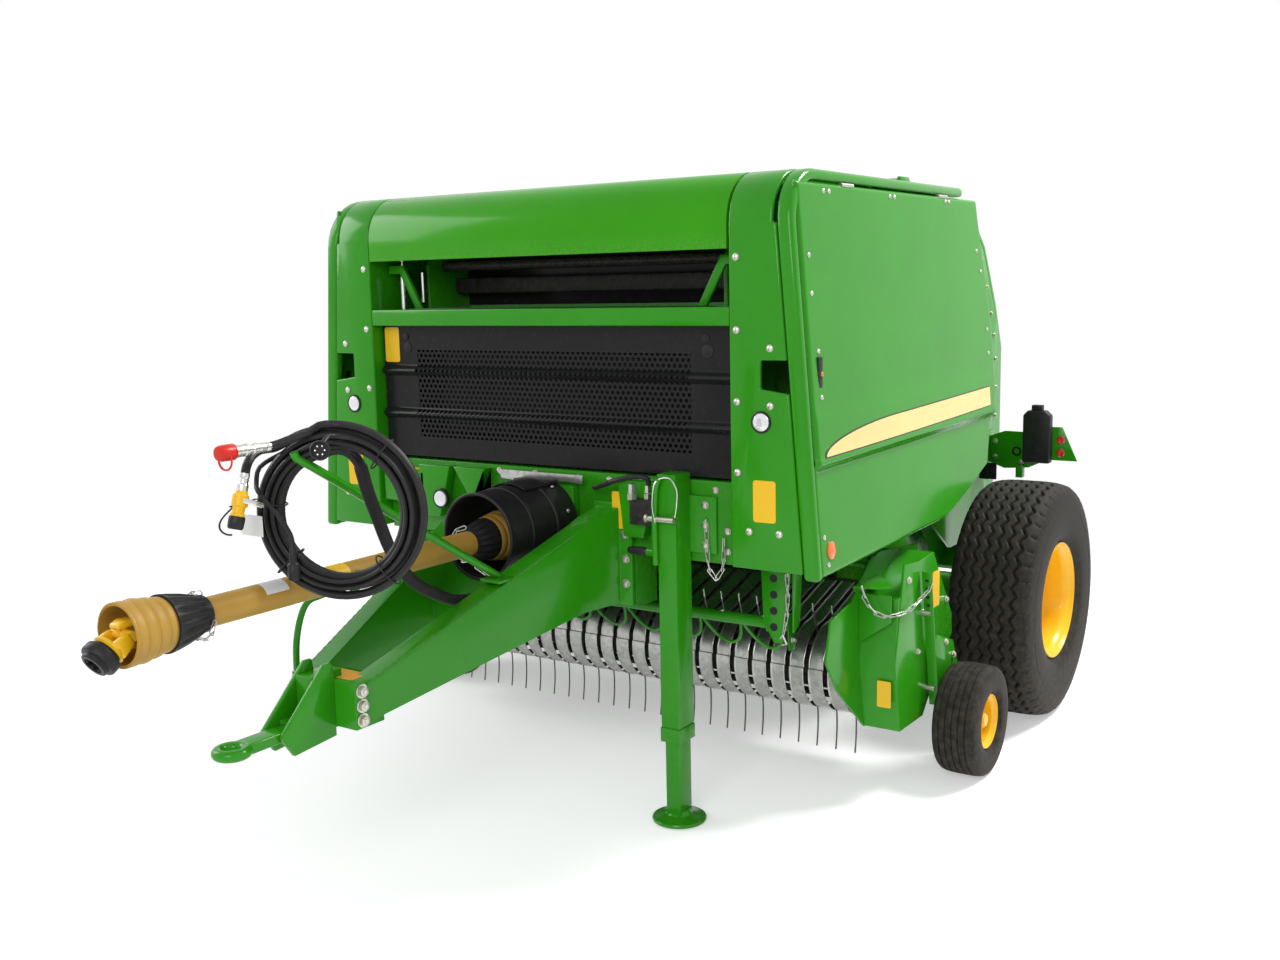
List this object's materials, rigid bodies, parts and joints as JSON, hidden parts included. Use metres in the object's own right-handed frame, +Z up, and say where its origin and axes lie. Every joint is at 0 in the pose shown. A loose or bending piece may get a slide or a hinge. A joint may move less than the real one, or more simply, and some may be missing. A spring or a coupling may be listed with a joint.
{
  "type": "round baler",
  "caption": "Towed round baler with drawbar, drive shaft, jack, tined pickup, bale chamber with lifting tailgate, hinged doors and hood, wheels and coiled hoses.",
  "frame": {"origin": "on the ground under the middle of the machine's length and width", "axes": "+X to the machine's left side, +Y to the rear, +Z up; the drawbar points to -Y"},
  "size_m": [2.424, 3.8658, 1.996],
  "materials": {
    "body_green": "glossy green paint",
    "hood_green": "glossy light green paint",
    "wheel_yellow": "glossy yellow paint",
    "yoke_yellow": "yellow paint",
    "guard_ochre": "ochre plastic",
    "black_steel": "satin black paint",
    "black_plastic": "matt black plastic",
    "tyre_rubber": "dark tyre rubber",
    "hose_rubber": "black rubber",
    "galvanised": "galvanised sheet",
    "coupler_red": "red plastic cap",
    "valve_yellow": "yellow valve body",
    "plug_black": "black plastic"
  },
  "bodies": {
    "chassis": {"bulkhead": "body_green", "gearbox": "black_steel", "drawbar": "body_green", "hitch_plates": "body_green", "towing_eye": "body_green", "fascia_column_left": "body_green", "fascia_column_right": "body_green", "cross_bar": "body_green", "net_guard_panel": "black_steel", "body_rim_left": "body_green", "body_rim_right": "body_green", "roof": "body_green", "chamber_front": "body_green", "axle_left": "body_green", "axle_right": "body_green", "jack_tube": "body_green", "pto_guard": "guard_ochre", "input_guard": "black_plastic", "shaft_rest": "body_green", "hose_holder": "body_green", "hose_coil": "hose_rubber", "hose_sleeve": "hose_rubber", "hose_a": "hose_rubber", "hose_b": "hose_rubber", "light_cable": "hose_rubber", "control_cable": "hose_rubber", "hose_a_coupler": "coupler_red", "hose_b_valve": "valve_yellow", "light_connector": "plug_black", "control_plug": "plug_black"},
    "main_wheel_left": {"main_rim_left": "wheel_yellow", "main_tyre_left": "tyre_rubber"},
    "main_wheel_right": {"main_rim_right": "wheel_yellow", "main_tyre_right": "tyre_rubber"},
    "pickup": {"stripper_bands": "galvanised", "pickup_guard_left": "body_green", "pickup_guard_right": "body_green", "gauge_arm_left": "body_green", "gauge_arm_right": "body_green"},
    "reel": {"pickup_reel": "black_steel"},
    "gauge_wheel_left": {"gauge_rim_left": "wheel_yellow", "gauge_tyre_left": "tyre_rubber"},
    "gauge_wheel_right": {"gauge_rim_right": "wheel_yellow", "gauge_tyre_right": "tyre_rubber"},
    "windguard": {"windguard": "body_green"},
    "feeder": {"feeder_rotor": "black_steel"},
    "tailgate": {"tailgate": "body_green", "light_carrier_left": "body_green", "light_carrier_right": "body_green"},
    "door_left": {"side_door_left": "body_green"},
    "door_right": {"side_door_right": "body_green"},
    "hood": {"hood": "hood_green"},
    "jack": {"jack_leg": "body_green"},
    "drive_shaft": {"pto_shaft": "yoke_yellow"}
  },
  "joints": [
    {"name": "main_wheel_left_spin", "type": "hinge", "parent": "chassis", "child": "main_wheel_left", "pos_m": [1.06, 1.21694, 0.434], "axis": [1, 0, 0], "continuous": true},
    {"name": "main_wheel_right_spin", "type": "hinge", "parent": "chassis", "child": "main_wheel_right", "pos_m": [-1.06, 1.21694, 0.434], "axis": [1, 0, 0], "continuous": true},
    {"name": "pickup_lift", "type": "hinge", "parent": "chassis", "child": "pickup", "pos_m": [0, 0.56794, 0.69], "axis": [-1, 0, 0], "range_deg": [0, 20]},
    {"name": "gauge_wheel_left_spin", "type": "hinge", "parent": "pickup", "child": "gauge_wheel_left", "pos_m": [1.124, 0.49094, 0.183], "axis": [1, 0, 0], "continuous": true},
    {"name": "gauge_wheel_right_spin", "type": "hinge", "parent": "pickup", "child": "gauge_wheel_right", "pos_m": [-1.124, 0.49094, 0.183], "axis": [1, 0, 0], "continuous": true},
    {"name": "reel_spin", "type": "hinge", "parent": "pickup", "child": "reel", "pos_m": [0, 0.24794, 0.371], "axis": [-1, 0, 0], "continuous": true},
    {"name": "windguard_lift", "type": "hinge", "parent": "pickup", "child": "windguard", "pos_m": [0, 0.22894, 0.722], "axis": [-1, 0, 0], "range_deg": [0, 30]},
    {"name": "feeder_spin", "type": "hinge", "parent": "chassis", "child": "feeder", "pos_m": [0, 0.69794, 0.56], "axis": [-1, 0, 0], "continuous": true},
    {"name": "tailgate_lift", "type": "hinge", "parent": "chassis", "child": "tailgate", "pos_m": [0, 1.16294, 1.946], "axis": [1, 0, 0], "range_deg": [0, 65]},
    {"name": "door_left_lift", "type": "hinge", "parent": "chassis", "child": "door_left", "pos_m": [0.886, 0.41294, 1.8922], "axis": [0, -1, 0], "range_deg": [0, 75]},
    {"name": "door_right_lift", "type": "hinge", "parent": "chassis", "child": "door_right", "pos_m": [-0.886, 0.41294, 1.8922], "axis": [0, 1, 0], "range_deg": [0, 75]},
    {"name": "hood_lift", "type": "hinge", "parent": "chassis", "child": "hood", "pos_m": [0, 0.13794, 1.926], "axis": [-1, 0, 0], "range_deg": [0, 60]},
    {"name": "jack_slide", "type": "slide", "parent": "chassis", "child": "jack", "axis": [0, 0, 1], "range_m": [0, 0.215]},
    {"name": "drive_shaft_spin", "type": "hinge", "parent": "chassis", "child": "drive_shaft", "pos_m": [0, -1.23706, 0.872], "axis": [0, -1, 0], "continuous": true}
  ]
}
